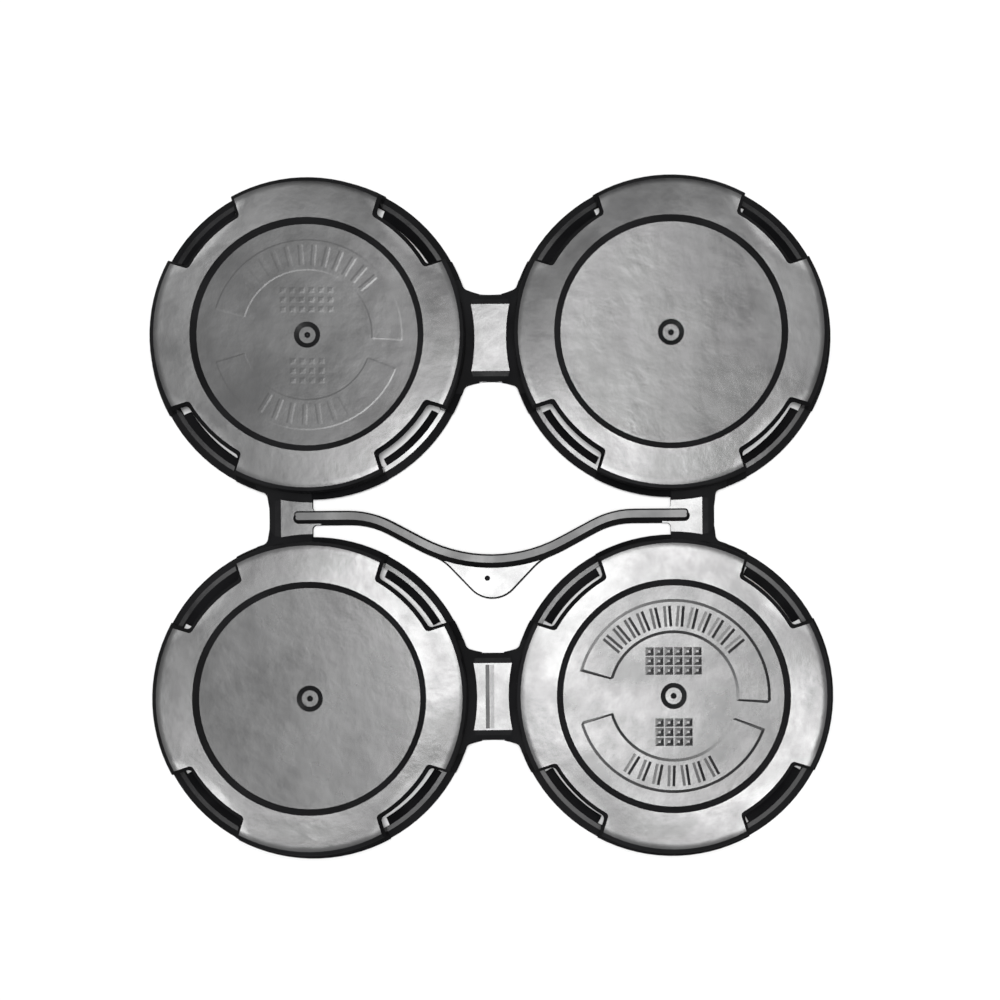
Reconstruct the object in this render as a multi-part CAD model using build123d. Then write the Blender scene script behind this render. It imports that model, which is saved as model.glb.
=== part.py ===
from build123d import *
from math import cos, degrees, radians, sin, sqrt, tan
import os

# Press-on carrier for four drinks cans, moulded as one piece.
# Four round caps stand in a square, webs join neighbouring caps at the level of their rims,
# and a curved finger strap crosses the opening in the middle.
# Millimetres. The origin is at the middle of the carrier, on the plane that the rims stand on.
# X runs from left to right, Y from the pad side of the strap to its other side, Z points up.

# Layout
cap_pitch = 66.5

# Cap, with radii from the axis of its can
cap_height = 7.0
plate_thickness = 1.2
wall_inner_radius = 27.5
wall_thickness = 1.3
shoulder_round = 0.85
shoulder_flat_count = 2
panel_radius = 20.2
panel_depth = 0.8
panel_slope_width = 1.15
panel_thickness = 1.2

# Rim bead round the foot of each cap
bead_projection = 1.0
bead_height = 2.4
bead_side_height = 1.2
bead_foot_taper = 0.25

# Windows through the shoulder of each cap, one on each diagonal
window_count = 4
window_plate_depth = 2.9
window_inner_slope_width = 0.8
window_angle = 31.6
window_flare = 2.4
window_end_slope_width = 0.45
window_corner_radius = 0.8
window_ledge_height = 1.9
window_ledge_slope = 6.0
window_lip_radius = 28.3
window_lip_slope = 39.0

# Snap lugs, one under each window, that catch below the seam of a can
lug_projection = 1.1
lug_tip_height = 0.6
lug_tip_land = 0.5
lug_angle = 28.6
lug_lead_in = 0.6

# Gate mark in the middle of each panel, a shallow dish round a nub
gate_radius = 2.4
gate_floor_radius = 1.5
gate_depth = 0.35
nub_radius = 0.55
nub_height = 0.3

# Webs between neighbouring caps
web_thickness = 1.5
web_edge_height = 0.4
web_edge_flat_count = 2
web_collar_width = 1.55
web_root = 0.9
web_corner_radius = 1.2
cross_web_waist = 16.2
cross_web_flat = 12.4
cross_web_scoop_radius = 13.5
side_web_inner_x = 33.2
side_web_flat_x = 39.0
side_web_outer_x = 41.3
side_web_scoop_radius = 40.0

# Finger strap
strap_width = 2.55
strap_height = 3.0
strap_end_x = 35.7
strap_dip = 8.15
strap_slope = 28.2
strap_mid_radius = 28.0
strap_knee_radius = 15.5
strap_flank_width = 0.9
strap_rib_width = 1.4
strap_rib_chamfer = 0.3
strap_gusset_radius = 0.8

# Finger pad on the strap
pad_thickness = 0.9
pad_half_width = 10.15
pad_peak = 17.55
pad_tip_radius = 5.4
pad_blend_radius = 8.0
pad_edge_chamfer = 0.3
pad_gate_radius = 0.5
pad_gate_depth = 0.25
pad_gate_x = -0.9
pad_gate_y = -11.3

# Worked out from the sizes above
half_pitch = cap_pitch / 2
cap_centres = [(x, y) for y in (half_pitch, -half_pitch) for x in (-half_pitch, half_pitch)]
wall_radius = wall_inner_radius + wall_thickness
bead_radius = wall_radius + bead_projection
window_inner_radius = wall_inner_radius - window_plate_depth
lug_tip_radius = wall_inner_radius - lug_projection
panel_top = cap_height - panel_depth
plate_underside = cap_height - plate_thickness
strap_centre_y = strap_mid_radius - strap_dip
cutter_margin = 1.0


def turned(profile):
    """The solid that a closed outline in the XZ plane sweeps about the Z axis."""
    return revolve(Plane.XZ * make_face(profile), Axis.Z)


def rounding(start, corner, end, flat_count):
    """The points of a few flats that round the corner between two points of a section."""
    points = []
    for index in range(flat_count + 1):
        t = index / flat_count
        weights = ((1 - t) ** 2, 2 * t * (1 - t), t**2)
        points.append(tuple(sum(w * p[axis] for w, p in zip(weights, (start, corner, end))) for axis in (0, 1)))
    return points


def polar(radius, angle):
    """The point at a radius and an angle in degrees."""
    return (radius * cos(radians(angle)), radius * sin(radians(angle)))


def cap_shell():
    """One cap turned from its section: panel, sloped step, seam plate, shoulder, wall and rim bead."""
    step_radius = panel_radius + panel_slope_width
    step_under_radius = step_radius + panel_slope_width / 2
    panel_underside = panel_top - panel_thickness
    shoulder = rounding(
        (wall_radius - shoulder_round, cap_height),
        (wall_radius, cap_height),
        (wall_radius, cap_height - shoulder_round),
        shoulder_flat_count,
    )
    return turned(
        Polyline(
            (0, panel_top),
            (panel_radius, panel_top),
            (step_radius, cap_height),
            *shoulder,
            (wall_radius, bead_height),
            (bead_radius, bead_side_height),
            (bead_radius - bead_foot_taper, 0),
            (wall_inner_radius, 0),
            (wall_inner_radius, plate_underside),
            (step_under_radius, plate_underside),
            (step_under_radius - panel_slope_width, panel_underside),
            (0, panel_underside),
            (0, panel_top),
        )
    )


def gate_mark():
    """The dish that is cut from the middle of a panel and leaves its nub standing."""
    floor = panel_top - gate_depth
    return turned(
        Polyline(
            (nub_radius, floor),
            (gate_floor_radius, floor),
            (gate_radius, panel_top),
            (gate_radius, panel_top + cutter_margin),
            (0, panel_top + cutter_margin),
            (0, floor + nub_height),
            (nub_radius, floor),
        )
    )


def window_plan(inner_radius, half_angle):
    """The outline of a window with that inner radius, and that half angle at its inner edge."""
    outer_radius = bead_radius + cutter_margin
    inner_ends = [polar(inner_radius, side * half_angle) for side in (-1, 1)]
    outer_ends = [polar(outer_radius, side * (half_angle + window_flare)) for side in (-1, 1)]
    outline = ThreePointArc(inner_ends[0], polar(inner_radius, 0), inner_ends[1])
    outline += Line(inner_ends[1], outer_ends[1])
    outline += ThreePointArc(outer_ends[1], polar(outer_radius, 0), outer_ends[0])
    outline += Line(outer_ends[0], inner_ends[0])
    plan = make_face(outline)
    return fillet(plan.vertices().sort_by(Axis.X)[:2], window_corner_radius)


def window_cutter():
    """One window, centred on +X: sloped sides through the plate, and a ledge with a lip in the wall."""
    half_angle = window_angle / 2
    low_radius = window_inner_radius + window_inner_slope_width
    low_half_angle = half_angle - degrees(window_end_slope_width / window_inner_radius)
    upper = window_plan(window_inner_radius, half_angle)
    lower = window_plan(low_radius, low_half_angle)
    sides = loft([Pos(0, 0, plate_underside) * lower, Pos(0, 0, cap_height) * upper], ruled=True)
    prism = extrude(lower, plate_underside) + sides + extrude(Pos(0, 0, cap_height) * upper, cutter_margin)
    outer_radius = bead_radius + 2 * cutter_margin
    lip_height = window_ledge_height - (window_lip_radius - wall_inner_radius) * tan(radians(window_ledge_slope))
    lip_fall = (outer_radius - window_lip_radius) * tan(radians(window_lip_slope))
    above_ledge = turned(
        Polyline(
            (0, window_ledge_height),
            (wall_inner_radius, window_ledge_height),
            (window_lip_radius, lip_height),
            (outer_radius, lip_height - lip_fall),
            (outer_radius, cap_height + cutter_margin),
            (0, cap_height + cutter_margin),
            (0, window_ledge_height),
        )
    )
    return prism & above_ledge


def snap_lug():
    """One lug, centred on +X: a sloped catch above, a blunt tip and a lead-in below."""
    root_radius = wall_inner_radius + wall_thickness / 2
    section = Polyline(
        (lug_tip_radius, lug_tip_height),
        (lug_tip_radius, lug_tip_height + lug_tip_land),
        (wall_inner_radius, window_ledge_height),
        (root_radius, window_ledge_height - wall_thickness / 2 * tan(radians(window_ledge_slope))),
        (root_radius, 0),
        (lug_tip_radius + lug_lead_in, 0),
        (lug_tip_radius, lug_tip_height),
    )
    lug = revolve(Plane.XZ * make_face(section), Axis.Z, revolution_arc=lug_angle)
    return lug.rotate(Axis.Z, -lug_angle / 2)


def cap():
    """A whole cap about its own axis."""
    turns = [360 / window_count * (index + 0.5) for index in range(window_count)]
    body = cap_shell() - gate_mark()
    opening = window_cutter()
    lug = snap_lug()
    for turn in turns:
        body -= opening.rotate(Axis.Z, turn)
    for turn in turns:
        body += lug.rotate(Axis.Z, turn)
    return body


def web_section(flat_half_width, edge_half_width):
    """A web's section from edge to edge, with a flat top that falls away to thin edges."""
    reach = edge_half_width + cutter_margin
    falling = rounding(
        (flat_half_width, web_thickness),
        ((flat_half_width + edge_half_width) / 2, web_thickness),
        (edge_half_width, web_edge_height),
        web_edge_flat_count,
    )
    right_side = [*falling, (reach, web_edge_height), (reach, 0)]
    left_side = [(-x, z) for x, z in reversed(right_side)]
    return make_face(Polyline(*left_side, *right_side, left_side[0]))


def cap_discs(radius):
    """Four discs of one radius about the axes of the caps."""
    return Sketch() + [Pos(*centre) * Circle(radius) for centre in cap_centres]


def corners_made(whole, *pieces):
    """The corners of a joined outline that none of its pieces had by itself."""
    old = [corner.center() for piece in pieces for corner in piece.vertices()]
    return [v for v in whole.vertices() if all((v.center() - point).length > 0.01 for point in old)]


def web_plan(strip, frame):
    """A strip between two caps with its corners against their beads filled in, kept inside a frame."""
    beads = cap_discs(bead_radius)
    joined = strip + beads
    corners = [v for v in corners_made(joined, strip, beads) if frame.is_inside(v.center())]
    return (fillet(corners, web_corner_radius) & frame) - cap_discs(wall_radius - web_root)


def web(plan, ridge):
    """A web of that outline and section, with sloped collars round the feet of the walls it meets."""
    body = extrude(plan, web_thickness) & ridge
    foot = wall_radius + web_collar_width * bead_height / (bead_height - web_thickness)
    root = wall_radius - web_root
    collar = turned(Polyline((root, 0), (foot, 0), (wall_radius, bead_height), (root, bead_height), (root, 0)))
    column = extrude(plan, bead_height)
    for centre in cap_centres:
        body += (Pos(*centre) * collar) & column
    return body


def cross_web(side):
    """The web between the left and right caps, on the side of the strap that a sign gives."""
    middle_y = side * half_pitch
    scoop_y = cross_web_waist / 2 + cross_web_scoop_radius
    strip = Pos(0, middle_y) * Rectangle(half_pitch, cross_web_waist + cross_web_scoop_radius)
    strip -= [Pos(0, middle_y + end * scoop_y) * Circle(cross_web_scoop_radius) for end in (-1, 1)]
    frame = Pos(0, middle_y) * Rectangle(half_pitch, cross_web_waist + 4 * web_corner_radius)
    ridge = extrude(Plane.YZ * web_section(cross_web_flat / 2, cross_web_waist / 2), half_pitch, both=True)
    return web(web_plan(strip, frame), Pos(0, middle_y) * ridge)


def strap_line(shift):
    """A line along the strap, with a middle bend and two knees, shifted off its middle towards +Y."""
    slope = radians(strap_slope)
    peak_y = strap_dip + strap_mid_radius * (1 / cos(slope) - 1)
    knee_x = peak_y / tan(slope) + shift * tan(slope / 2)
    return FilletPolyline(
        (-strap_end_x, shift),
        (-knee_x, shift),
        (0, shift / cos(slope) - peak_y),
        (knee_x, shift),
        (strap_end_x, shift),
        radius=[strap_knee_radius + shift, strap_mid_radius - shift, strap_knee_radius + shift],
    )


def strap_plan():
    """The outline of the strap from above, with round ends."""
    return make_face(offset(strap_line(0), strap_width / 2))


def strap():
    """The strap: a body that slopes in above the pad, and a full-height rib along its +Y side."""
    body = extrude(strap_plan(), strap_height)
    top_edges = body.faces().sort_by(Axis.Z)[-1].edges()
    body = chamfer(top_edges, strap_height - pad_thickness, strap_flank_width)
    rib_line = strap_line((strap_width - strap_rib_width) / 2)
    rib = extrude(make_face(offset(rib_line, strap_rib_width / 2)), strap_height)
    return body + chamfer(rib.faces().sort_by(Axis.Z)[-1].edges(), strap_rib_chamfer)


def side_web(side):
    """The web between the upper and lower caps on one side, with gussets where the strap runs onto it."""
    width = side_web_outer_x + cutter_margin - side_web_inner_x
    scoop_x = side_web_outer_x + side_web_scoop_radius
    strip = Pos(side * (side_web_inner_x + width / 2), 0) * Rectangle(width, half_pitch)
    strip -= Pos(side * scoop_x, 0) * Circle(side_web_scoop_radius)
    frame_width = width + web_corner_radius
    frame = Pos(side * (side_web_inner_x + frame_width / 2), 0) * Rectangle(frame_width, half_pitch / 2)
    plan = web_plan(strip, frame)
    near_web = Pos(side * side_web_inner_x, 0) * Rectangle(4 * strap_gusset_radius, half_pitch)
    stub = strap_plan() & near_web
    whole = plan + stub
    whole = fillet(corners_made(whole, plan, stub), strap_gusset_radius)
    ridge = extrude(Plane.XZ * web_section(side_web_flat_x, side_web_outer_x), half_pitch, both=True)
    return web(whole, ridge)


def pad():
    """The thin finger pad on the lower side of the strap's middle bend, with the foot of the strap."""
    root_radius = strap_mid_radius + strap_width / 4
    root_y = strap_centre_y - sqrt(root_radius**2 - pad_half_width**2)
    left_root = (-pad_half_width, root_y)
    right_root = (pad_half_width, root_y)
    border = FilletPolyline(left_root, (0, -pad_peak), right_root, radius=[pad_tip_radius])
    along_strap = ThreePointArc(right_root, (0, strap_centre_y - root_radius), left_root)
    tongue = make_face(border + along_strap)
    ribbon = strap_plan()
    plan = ribbon + tongue
    plan = fillet(corners_made(plan, ribbon, tongue), pad_blend_radius)
    plate = extrude(plan, pad_thickness)
    plate = chamfer(plate.faces().sort_by(Axis.Z)[-1].edges(), pad_edge_chamfer)
    dimple = Pos(pad_gate_x, pad_gate_y, pad_thickness) * Cone(0, 2 * pad_gate_radius, 2 * pad_gate_depth)
    return plate - dimple


one_cap = cap()
carrier = side_web(-1) + side_web(1) + strap() + pad() + cross_web(1) + cross_web(-1)
for centre in cap_centres:
    carrier += Pos(*centre) * one_cap

os.makedirs("parts", exist_ok=True)
export_step(carrier, "parts/can_carrier.step")
print(f"{len(carrier.solids())} solid, {carrier.volume / 1000:.2f} cubic centimetres")
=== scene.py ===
from math import cos, degrees, radians, sin

import bmesh
import bpy
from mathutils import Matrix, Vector


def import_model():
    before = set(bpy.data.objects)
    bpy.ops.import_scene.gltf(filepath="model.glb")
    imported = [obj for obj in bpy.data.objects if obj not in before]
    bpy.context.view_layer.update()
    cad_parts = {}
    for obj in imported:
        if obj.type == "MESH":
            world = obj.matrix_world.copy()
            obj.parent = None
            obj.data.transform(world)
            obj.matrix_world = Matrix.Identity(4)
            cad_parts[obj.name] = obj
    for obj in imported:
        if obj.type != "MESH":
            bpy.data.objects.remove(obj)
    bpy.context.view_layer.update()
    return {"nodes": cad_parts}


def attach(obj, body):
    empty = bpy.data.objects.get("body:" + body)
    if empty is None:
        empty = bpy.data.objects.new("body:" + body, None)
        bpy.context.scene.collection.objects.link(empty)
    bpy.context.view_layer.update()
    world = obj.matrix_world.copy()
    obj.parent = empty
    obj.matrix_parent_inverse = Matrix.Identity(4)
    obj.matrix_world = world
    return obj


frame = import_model()

MM = 0.001

# Layout of the carrier, as the frame has it
CARRIER = "can_carrier"
HALF_PITCH = 33.25 * MM
PLATE_UNDERSIDE = 5.8 * MM
PANEL_TOP = 6.2 * MM
WEB_TOP = 1.5 * MM
PANEL_RADIUS = 20.2 * MM
STEP_RADIUS = 21.35 * MM
SHOULDER_RADIUS = 27.95 * MM
WINDOW_ANGLES = (45, 135, 225, 315)
SIDES = (-1, 1)

# Thin lip along the tip of each snap lug, which narrows the gap seen through the window: half
# its angle in degrees, then the radius and the lower and upper height of its root and its edge
LUG_LIP_HALF_ANGLE = 14.2
LUG_LIP_ROOT = (26.45 * MM, 0.6 * MM, 1.2 * MM)
LUG_LIP_EDGE = (25.95 * MM, 0.7 * MM, 0.85 * MM)
ARC_STEP = 3

# Plain relief of a panel: raised bands from one angle to another, ribs on them from an angle to
# another at a step, and blocks of pips, each with its middle's Y, its columns and its rows
BANDS = ((-5, 165), (195, 340))
BAND_INNER = 11.4 * MM
BAND_OUTER = 17.8 * MM
BAND_SLOPE = 0.6 * MM
RIBS = ((40, 145, 9), (238, 306, 10))
RIB_MARGIN = 1.3 * MM
RIB_BASE = 1.5 * MM
RIB_CREST = 0.4 * MM
BLOCKS = ((6.4 * MM, 6, 3), (-6.6 * MM, 4, 3))
PIP_PITCH = 1.75 * MM
PIP_BASE = 1.6 * MM
PIP_CREST = 0.4 * MM
RELIEF_ROOT = 0.006 * MM
CLEAR_RELIEF = 0.1 * MM
FAINT_RELIEF = 0.01 * MM

# Mould line along the front web, a low ridge just left of its middle
SEAM_X = -0.55 * MM
SEAM_HALF_LENGTH = 5.9 * MM
SEAM_BASE = 1.7 * MM
SEAM_CREST = 0.1 * MM
SEAM_HEIGHT = 0.075 * MM

# Camera above the carrier, looking straight down, with its frame shifted off its axis
IMAGE_SIZE = 1000
SENSOR_WIDTH = 36.0
FOCAL_PIXELS = 1882
AXIS_PIXEL = (580, 640)
CAMERA_AT = (16.2 * MM, -22.9 * MM, 350 * MM)
CAMERA_ROLL = -0.43
CLIP_START = 0.01
CLIP_END = 10

# Light: a small bright softbox overhead, a wide dim card above it and a dim world
SOFTBOX_AT = (16.0 * MM, 9.0 * MM, 900 * MM)
SOFTBOX_RADIUS = 150 * MM
SOFTBOX_WATTS = 6.6
CARD_AT = (0.0, 0.0, 1500 * MM)
CARD_SIZE = 1150 * MM
CARD_WATTS = 9.8
WORLD_LEVEL = 0.12
WORLD_SEEN = 1.0

# Floor: its size in metres, and its tone as seen, as lit and as the plastic mirrors it, where
# the mirrored tone is kept dark as painted shade on the plastic's walls and edges
FLOOR_SIZE = 4.0
FLOOR_SEEN = 0.85
FLOOR_LIT = 0.30
FLOOR_MIRRORED_PAINTED_SHADE = 0.04

# Plastic: tone, roughness, and the scale and depth of its waves and grain
PLASTIC_DARK = (0.005, 0.005, 0.0055, 1)
PLASTIC_LIGHT = (0.011, 0.011, 0.012, 1)
NOISE_SPAN = (0.3, 0.7)
CLOUD_SCALE = 90
GLOSS_SCALE = 110
ROUGHNESS_SPAN = (0.17, 0.27)
WAVE_SCALE = 260
WAVE_DEPTH = 0.12 * MM
WAVE_STRENGTH = 0.25
GRAIN_SCALE = 1500
GRAIN_DEPTH = 0.01 * MM
GRAIN_STRENGTH = 0.3

# Added roughness of each panel and of the finger strap, which lies clear of the caps
PANEL_HAZE = {"rear_left": 0.0, "rear_right": 0.0, "front_left": 0.02, "front_right": 0.03}
STRAP_HAZE = 0.17
STRAP_CLEAR_OF_CAPS = 31 * MM
JUST_ABOVE_WEBS = 0.1 * MM

# Lean of the normal along the streaks of the plastic's flow, in radians
SWIRL_TILT = 0.03
SWIRL_SCALE = (75, 32, 75)
SWIRL_TURN = 35

# Warp of the caps: a tilt of each panel and plate in radians along X and Y. These came from a
# least-squares fit of mirrored light to tones of the photograph, run in a scratch program. The
# front right panel, the rear left plate and the front left plate's Y were then changed
PANEL_TILT = {
    "rear_left": (0.002, -0.002),
    "rear_right": (0.033, -0.019),
    "front_left": (-0.006, -0.011),
    "front_right": (0.03, -0.004),
}
PLATE_TILT = {
    "rear_left": (0.028, -0.021),
    "rear_right": (0.015, -0.012),
    "front_left": (0.037, -0.005),
    "front_right": (-0.006, 0.006),
}

# Bends and twists in radians for each metre: of the panels along X and Y, of the plates, of
# the plates' edges by the windows between two radii, and of the rear web. The panels' bend and
# the plates' twist are the same fit's values, rounded, and the rest were given
PANEL_BEND = (-0.8, -1.9)
PLATE_TWIST = -1.2
WINDOW_EDGE_BEND = -0.35
WINDOW_EDGE_START = 22.6 * MM
WINDOW_EDGE_END = 24.1 * MM
REAR_WEB_BEND = -0.7

# Roll of the plates' outer edges in radians, and its width
EDGE_TILT = 0.08
EDGE_ROLL_WIDTH = 1.1 * MM


def new_material(name):
    material = bpy.data.materials.new(name)
    material.use_nodes = True
    material.node_tree.nodes.clear()
    return material


def add(tree, kind, **settings):
    node = tree.nodes.new(kind)
    for key, value in settings.items():
        setattr(node, key, value)
    return node


def put(tree, socket, value):
    """Link a socket to a node's output, or set it to a constant."""
    if isinstance(value, bpy.types.NodeSocket):
        tree.links.new(value, socket)
    else:
        socket.default_value = value


def maths(tree, operation, *values):
    node = add(tree, "ShaderNodeMath", operation=operation)
    for socket, value in zip(node.inputs, values):
        put(tree, socket, value)
    return node.outputs["Value"]


def vector_maths(tree, operation, *values):
    node = add(tree, "ShaderNodeVectorMath", operation=operation)
    for socket, value in zip(node.inputs, values):
        put(tree, socket, value)
    return node.outputs["Vector"]


def scaled(tree, vector, factor):
    node = add(tree, "ShaderNodeVectorMath", operation="SCALE")
    put(tree, node.inputs[0], vector)
    put(tree, node.inputs["Scale"], factor)
    return node.outputs["Vector"]


def length_of(tree, vector):
    node = add(tree, "ShaderNodeVectorMath", operation="LENGTH")
    put(tree, node.inputs[0], vector)
    return node.outputs["Value"]


def combined(tree, x, y, z=0.0):
    node = add(tree, "ShaderNodeCombineXYZ")
    for socket, value in zip(node.inputs, (x, y, z)):
        put(tree, socket, value)
    return node.outputs["Vector"]


def split_up(tree, vector):
    node = add(tree, "ShaderNodeSeparateXYZ")
    put(tree, node.inputs["Vector"], vector)
    return node.outputs["X"], node.outputs["Y"], node.outputs["Z"]


def noise(tree, coords, scale, detail=2.0, rough=0.5, output="Fac"):
    node = add(tree, "ShaderNodeTexNoise")
    node.inputs["Scale"].default_value = scale
    node.inputs["Detail"].default_value = detail
    node.inputs["Roughness"].default_value = rough
    tree.links.new(coords, node.inputs["Vector"])
    return node.outputs[output]


def ramp(tree, value, low, high, out_low, out_high):
    """A smooth ramp from out_low at low to out_high at high."""
    node = add(tree, "ShaderNodeMapRange", interpolation_type="SMOOTHSTEP")
    node.inputs["From Min"].default_value = low
    node.inputs["From Max"].default_value = high
    node.inputs["To Min"].default_value = out_low
    node.inputs["To Max"].default_value = out_high
    tree.links.new(value, node.inputs["Value"])
    return node.outputs["Result"]


def bump(tree, height, distance, strength, before):
    node = add(tree, "ShaderNodeBump")
    node.inputs["Distance"].default_value = distance
    node.inputs["Strength"].default_value = strength
    tree.links.new(height, node.inputs["Height"])
    tree.links.new(before, node.inputs["Normal"])
    return node.outputs["Normal"]


def cap_layout(tree, coords):
    """Where a point lies: on which cap, how far from its axis, and on which part."""
    x, y, z = split_up(tree, coords)
    side_x = maths(tree, "SIGN", x)
    side_y = maths(tree, "SIGN", y)
    radial_x = maths(tree, "SUBTRACT", x, maths(tree, "MULTIPLY", side_x, HALF_PITCH))
    radial_y = maths(tree, "SUBTRACT", y, maths(tree, "MULTIPLY", side_y, HALF_PITCH))
    radial = combined(tree, radial_x, radial_y)
    radius = length_of(tree, radial)
    on_cap = maths(tree, "GREATER_THAN", z, PLATE_UNDERSIDE)
    inside_step = ramp(tree, radius, PANEL_RADIUS, STEP_RADIUS, 1, 0)
    on_panel = maths(tree, "MULTIPLY", inside_step, on_cap)
    above_webs = maths(tree, "GREATER_THAN", z, WEB_TOP + JUST_ABOVE_WEBS)
    at_web_height = maths(tree, "SUBTRACT", 1.0, above_webs)
    clear_of_caps = maths(tree, "GREATER_THAN", radius, STRAP_CLEAR_OF_CAPS)
    return {
        "side_x": side_x,
        "side_y": side_y,
        "corner": maths(tree, "MULTIPLY", side_x, side_y),
        "radial": radial,
        "radial_x": radial_x,
        "radial_y": radial_y,
        "radius": radius,
        "on_panel": on_panel,
        "on_plate": maths(tree, "SUBTRACT", on_cap, on_panel),
        "on_strap": maths(tree, "MULTIPLY", above_webs, clear_of_caps),
        "rear_web_y": maths(tree, "MULTIPLY", maths(tree, "MAXIMUM", y, 0.0), at_web_height),
    }


def per_cap(tree, layout, rear_left, rear_right, front_left, front_right):
    """A value for each cap, from the signs of X and Y."""
    mean = (rear_left + rear_right + front_left + front_right) / 4
    along_x = (rear_right + front_right - rear_left - front_left) / 4
    along_y = (rear_left + rear_right - front_left - front_right) / 4
    across = (rear_right + front_left - rear_left - front_right) / 4
    value = maths(tree, "MULTIPLY_ADD", layout["side_x"], along_x, mean)
    value = maths(tree, "MULTIPLY_ADD", layout["side_y"], along_y, value)
    return maths(tree, "MULTIPLY_ADD", layout["corner"], across, value)


def tilt_per_cap(tree, layout, tilts):
    """The tilt of each cap as a vector, from its leans along X and Y."""
    along_x = {cap: tilt[0] for cap, tilt in tilts.items()}
    along_y = {cap: tilt[1] for cap, tilt in tilts.items()}
    return combined(tree, per_cap(tree, layout, **along_x), per_cap(tree, layout, **along_y))


def panel_lean(tree, layout):
    """Tilt and bend of the panels."""
    bend = vector_maths(tree, "MULTIPLY", layout["radial"], (*PANEL_BEND, 0))
    lean = vector_maths(tree, "ADD", bend, tilt_per_cap(tree, layout, PANEL_TILT))
    return scaled(tree, lean, layout["on_panel"])


def plate_lean(tree, coords, layout):
    """Tilt and twist of the plates, their bend by the windows and the roll of their edge."""
    swapped = combined(tree, layout["radial_y"], layout["radial_x"])
    twist = scaled(tree, swapped, maths(tree, "MULTIPLY", layout["corner"], PLATE_TWIST))
    lean = vector_maths(tree, "ADD", twist, tilt_per_cap(tree, layout, PLATE_TILT))
    product = maths(tree, "MULTIPLY", layout["radial_x"], layout["radial_y"])
    diagonal = maths(tree, "ABSOLUTE", product)
    edge_start = WINDOW_EDGE_START ** 2 / 2
    edge_end = WINDOW_EDGE_END ** 2 / 2
    by_window = ramp(tree, diagonal, edge_start, edge_end, 0, WINDOW_EDGE_BEND)
    bend = vector_maths(tree, "MULTIPLY", scaled(tree, coords, by_window), (1, 1, 0))
    lean = vector_maths(tree, "ADD", lean, bend)
    roll_start = SHOULDER_RADIUS - EDGE_ROLL_WIDTH
    edge_roll = ramp(tree, layout["radius"], roll_start, SHOULDER_RADIUS, 0, EDGE_TILT)
    outwards = vector_maths(tree, "NORMALIZE", layout["radial"])
    lean = vector_maths(tree, "ADD", lean, scaled(tree, outwards, edge_roll))
    return scaled(tree, lean, layout["on_plate"])


def rear_web_lean(tree, layout):
    """Bend of the rear web along Y."""
    return combined(tree, 0.0, maths(tree, "MULTIPLY", layout["rear_web_y"], REAR_WEB_BEND))


def swirl_lean(tree, coords):
    """A small lean along the streaks of the plastic's flow."""
    flow = add(tree, "ShaderNodeMapping")
    flow.inputs["Rotation"].default_value = (0, 0, radians(SWIRL_TURN))
    flow.inputs["Scale"].default_value = SWIRL_SCALE
    tree.links.new(coords, flow.inputs["Vector"])
    swirl = noise(tree, flow.outputs["Vector"], 1, detail=3, output="Color")
    swirl = vector_maths(tree, "SUBTRACT", swirl, (0.5, 0.5, 0.5))
    return vector_maths(tree, "MULTIPLY", swirl, (SWIRL_TILT, SWIRL_TILT, 0))


def warped_normal(tree, coords, layout):
    """The surface normal, leaned by the slight warp of the moulded plastic."""
    normal = add(tree, "ShaderNodeNewGeometry").outputs["Normal"]
    leans = (
        panel_lean(tree, layout),
        plate_lean(tree, coords, layout),
        rear_web_lean(tree, layout),
        swirl_lean(tree, coords),
    )
    for lean in leans:
        normal = vector_maths(tree, "ADD", normal, lean)
    return vector_maths(tree, "NORMALIZE", normal)


def moulded_plastic():
    """Black plastic from a mould, with cloudy gloss, a slight warp, waves and fine grain."""
    material = new_material("black_moulded_plastic")
    tree = material.node_tree
    coords = add(tree, "ShaderNodeTexCoord").outputs["Object"]
    shader = add(tree, "ShaderNodeBsdfPrincipled")
    output = add(tree, "ShaderNodeOutputMaterial")
    tree.links.new(shader.outputs["BSDF"], output.inputs["Surface"])

    clouds = noise(tree, coords, CLOUD_SCALE, detail=4)
    tint = add(tree, "ShaderNodeMix", data_type="RGBA")
    tint.inputs["A"].default_value = PLASTIC_DARK
    tint.inputs["B"].default_value = PLASTIC_LIGHT
    tree.links.new(ramp(tree, clouds, *NOISE_SPAN, 0, 1), tint.inputs["Factor"])
    tree.links.new(tint.outputs["Result"], shader.inputs["Base Color"])

    layout = cap_layout(tree, coords)
    gloss = noise(tree, coords, GLOSS_SCALE, detail=5, rough=0.6)
    haze = maths(tree, "MULTIPLY", per_cap(tree, layout, **PANEL_HAZE), layout["on_panel"])
    haze = maths(tree, "MULTIPLY_ADD", layout["on_strap"], STRAP_HAZE, haze)
    rough = maths(tree, "ADD", ramp(tree, gloss, *NOISE_SPAN, *ROUGHNESS_SPAN), haze)
    tree.links.new(rough, shader.inputs["Roughness"])

    warp = warped_normal(tree, coords, layout)
    waves = noise(tree, coords, WAVE_SCALE, detail=3)
    wavy = bump(tree, waves, WAVE_DEPTH, WAVE_STRENGTH, warp)
    grain = noise(tree, coords, GRAIN_SCALE, detail=2)
    grainy = bump(tree, grain, GRAIN_DEPTH, GRAIN_STRENGTH, wavy)
    tree.links.new(grainy, shader.inputs["Normal"])
    return material


def polar(radius, angle):
    return Vector((radius * cos(radians(angle)), radius * sin(radians(angle))))


def ways_along(start, end):
    """Unit vectors at even steps along an arc between two angles."""
    count = max(2, round(abs(end - start) / ARC_STEP))
    return [polar(1, start + (end - start) * i / count) for i in range(count + 1)]


def section_at(centre, way, section, base_z=0.0):
    """A section of radii and heights, stood along a way from a centre."""
    x, y = centre
    return [(x + radius * way.x, y + radius * way.y, base_z + z) for radius, z in section]


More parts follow.
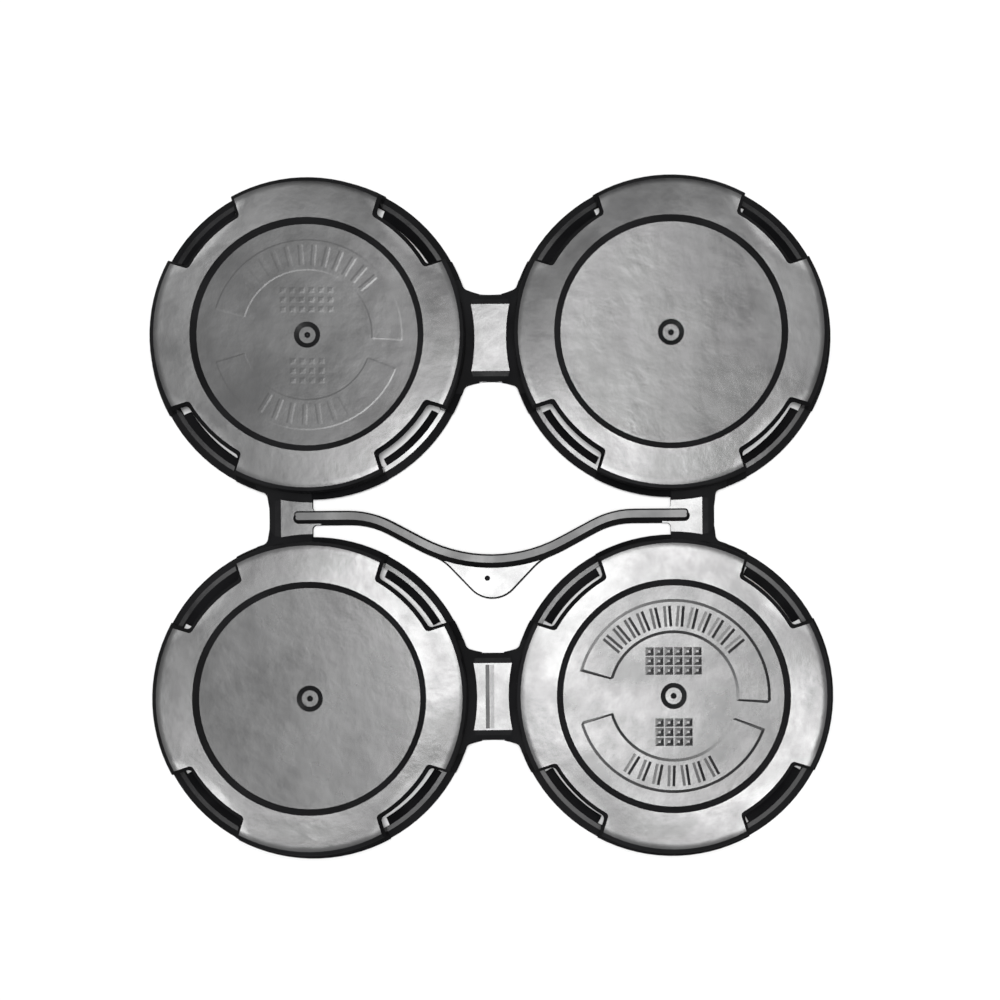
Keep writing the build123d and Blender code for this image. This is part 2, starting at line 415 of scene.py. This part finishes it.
def prism_along(mesh, rings):
    """Close a row of like sections into a solid."""
    rows = [[mesh.verts.new(point) for point in ring] for ring in rings]
    for first, second in zip(rows, rows[1:]):
        for i in range(len(first)):
            j = (i + 1) % len(first)
            mesh.faces.new((first[i], first[j], second[j], second[i]))
    mesh.faces.new(rows[0][::-1])
    mesh.faces.new(rows[-1])


def ridge(mesh, centre, ends, base, crest, height, top_z):
    """A straight low ridge with sloped sides, sunk a little into the face at top_z."""
    along = (ends[1] - ends[0]).normalized()
    across = Vector((-along.y, along.x))
    section = (
        (-base / 2, -RELIEF_ROOT),
        (-crest / 2, height),
        (crest / 2, height),
        (base / 2, -RELIEF_ROOT),
    )
    rings = []
    for end in ends:
        flats = [(centre + end + across * offset, z) for offset, z in section]
        rings.append([(flat.x, flat.y, top_z + z) for flat, z in flats])
    prism_along(mesh, rings)


def pip(mesh, middle, height, top_z):
    """A small raised square with sloped sides."""
    corners = ((-1, -1), (1, -1), (1, 1), (-1, 1))
    rings = []
    for side, z in ((PIP_BASE, -RELIEF_ROOT), (PIP_CREST, height)):
        half = side / 2
        rings.append([(middle.x + x * half, middle.y + y * half, top_z + z) for x, y in corners])
    prism_along(mesh, rings)


def raised_band(mesh, centre, start, end, height, top_z):
    """A flat raised band along an arc, with sloped sides and ends."""
    slope_angle = degrees(BAND_SLOPE / BAND_OUTER)
    ways = ways_along(start, end)
    ways.insert(1, polar(1, start + slope_angle))
    ways.insert(-1, polar(1, end - slope_angle))
    last = len(ways) - 1
    rings = []
    for i, way in enumerate(ways):
        top = -RELIEF_ROOT if i in (0, last) else height
        section = (
            (BAND_INNER, -2 * RELIEF_ROOT),
            (BAND_INNER + BAND_SLOPE, top),
            (BAND_OUTER - BAND_SLOPE, top),
            (BAND_OUTER, -2 * RELIEF_ROOT),
        )
        rings.append(section_at(centre, way, section, top_z))
    prism_along(mesh, rings)


def add_piece(name, mesh, plastic):
    bmesh.ops.recalc_face_normals(mesh, faces=mesh.faces)
    data = bpy.data.meshes.new(name)
    mesh.to_mesh(data)
    mesh.free()
    data.materials.append(plastic)
    piece = bpy.data.objects.new(name, data)
    bpy.context.scene.collection.objects.link(piece)
    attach(piece, "root")


def panel_relief(name, centre, height, plastic):
    """Plain relief on a panel: two raised bands, ribs on them and two blocks of pips."""
    mesh = bmesh.new()
    for start, end in BANDS:
        raised_band(mesh, centre, start, end, height, PANEL_TOP)
    inner = BAND_INNER + RIB_MARGIN
    outer = BAND_OUTER - RIB_MARGIN
    for start, end, step in RIBS:
        for angle in range(start, end, step):
            ends = [polar(inner, angle), polar(outer, angle)]
            ridge(mesh, centre, ends, RIB_BASE, RIB_CREST, height, PANEL_TOP + height)
    for middle_y, columns, rows in BLOCKS:
        for i in range(columns):
            for j in range(rows):
                x = (i - (columns - 1) / 2) * PIP_PITCH
                y = middle_y + (j - (rows - 1) / 2) * PIP_PITCH
                pip(mesh, centre + Vector((x, y)), height, PANEL_TOP)
    add_piece(name, mesh, plastic)


def lug_lips(plastic):
    """A thin lip along the tip of the snap lug under each window."""
    mesh = bmesh.new()
    root_radius, root_low, root_high = LUG_LIP_ROOT
    edge_radius, edge_low, edge_high = LUG_LIP_EDGE
    section = (
        (root_radius, root_low),
        (root_radius, root_high),
        (edge_radius, edge_high),
        (edge_radius, edge_low),
    )
    for side_x in SIDES:
        for side_y in SIDES:
            centre = (side_x * HALF_PITCH, side_y * HALF_PITCH)
            for angle in WINDOW_ANGLES:
                ways = ways_along(angle - LUG_LIP_HALF_ANGLE, angle + LUG_LIP_HALF_ANGLE)
                prism_along(mesh, [section_at(centre, way, section) for way in ways])
    add_piece("lug_lips", mesh, plastic)


def web_seam(plastic):
    mesh = bmesh.new()
    centre = Vector((SEAM_X, -HALF_PITCH))
    ends = [Vector((0, side * SEAM_HALF_LENGTH)) for side in SIDES]
    ridge(mesh, centre, ends, SEAM_BASE, SEAM_CREST, SEAM_HEIGHT, WEB_TOP)
    add_piece("web_seam", mesh, plastic)


def floor():
    """A pale floor that the camera sees as white, and that glossy rays see dark as painted
    shade.
    """
    bpy.ops.mesh.primitive_plane_add(size=FLOOR_SIZE)
    plane = bpy.context.object
    plane.name = "floor"
    material = new_material("pale_floor_painted_dark_when_mirrored")
    tree = material.node_tree
    path = add(tree, "ShaderNodeLightPath").outputs
    to_seen = FLOOR_SEEN - FLOOR_LIT
    to_painted_shade = FLOOR_MIRRORED_PAINTED_SHADE - FLOOR_LIT
    tone = maths(tree, "MULTIPLY_ADD", path["Is Camera Ray"], to_seen, FLOOR_LIT)
    # Glossy rays see the floor dark: painted shade on the plastic's walls and edges
    tone = maths(tree, "MULTIPLY_ADD", path["Is Glossy Ray"], to_painted_shade, tone)
    paper = add(tree, "ShaderNodeBsdfDiffuse")
    tree.links.new(combined(tree, tone, tone, tone), paper.inputs["Color"])
    output = add(tree, "ShaderNodeOutputMaterial")
    tree.links.new(paper.outputs["BSDF"], output.inputs["Surface"])
    plane.data.materials.append(material)


def area_light(name, shape, size, watts, place):
    lamp = bpy.data.lights.new(name, "AREA")
    lamp.shape = shape
    lamp.size = size
    lamp.energy = watts
    piece = bpy.data.objects.new(name, lamp)
    piece.location = place
    bpy.context.scene.collection.objects.link(piece)


def world():
    """A world that lights the carrier dimly and that the camera sees as white."""
    settings = bpy.data.worlds.new("studio")
    settings.use_nodes = True
    tree = settings.node_tree
    background = tree.nodes["Background"]
    background.inputs["Color"].default_value = (1, 1, 1, 1)
    path = add(tree, "ShaderNodeLightPath").outputs
    to_seen = WORLD_SEEN - WORLD_LEVEL
    level = maths(tree, "MULTIPLY_ADD", path["Is Camera Ray"], to_seen, WORLD_LEVEL)
    tree.links.new(level, background.inputs["Strength"])
    bpy.context.scene.world = settings


def camera():
    lens = bpy.data.cameras.new("camera")
    lens.sensor_width = SENSOR_WIDTH
    lens.lens = SENSOR_WIDTH * FOCAL_PIXELS / IMAGE_SIZE
    lens.shift_x = 0.5 - AXIS_PIXEL[0] / IMAGE_SIZE
    lens.shift_y = AXIS_PIXEL[1] / IMAGE_SIZE - 0.5
    lens.clip_start = CLIP_START
    lens.clip_end = CLIP_END
    piece = bpy.data.objects.new("camera", lens)
    piece.location = CAMERA_AT
    piece.rotation_euler = (0, 0, radians(CAMERA_ROLL))
    bpy.context.scene.collection.objects.link(piece)
    bpy.context.scene.camera = piece


plastic = moulded_plastic()
carrier = frame["nodes"][CARRIER]
carrier.data.materials.clear()
carrier.data.materials.append(plastic)

lug_lips(plastic)
web_seam(plastic)
panel_relief("front_panel_relief", Vector((HALF_PITCH, -HALF_PITCH)), CLEAR_RELIEF, plastic)
panel_relief("rear_panel_relief", Vector((-HALF_PITCH, HALF_PITCH)), FAINT_RELIEF, plastic)

floor()
area_light("softbox", "DISK", 2 * SOFTBOX_RADIUS, SOFTBOX_WATTS, SOFTBOX_AT)
area_light("overhead_card", "SQUARE", CARD_SIZE, CARD_WATTS, CARD_AT)
world()
camera()

scene = bpy.context.scene
scene.view_settings.view_transform = "Standard"
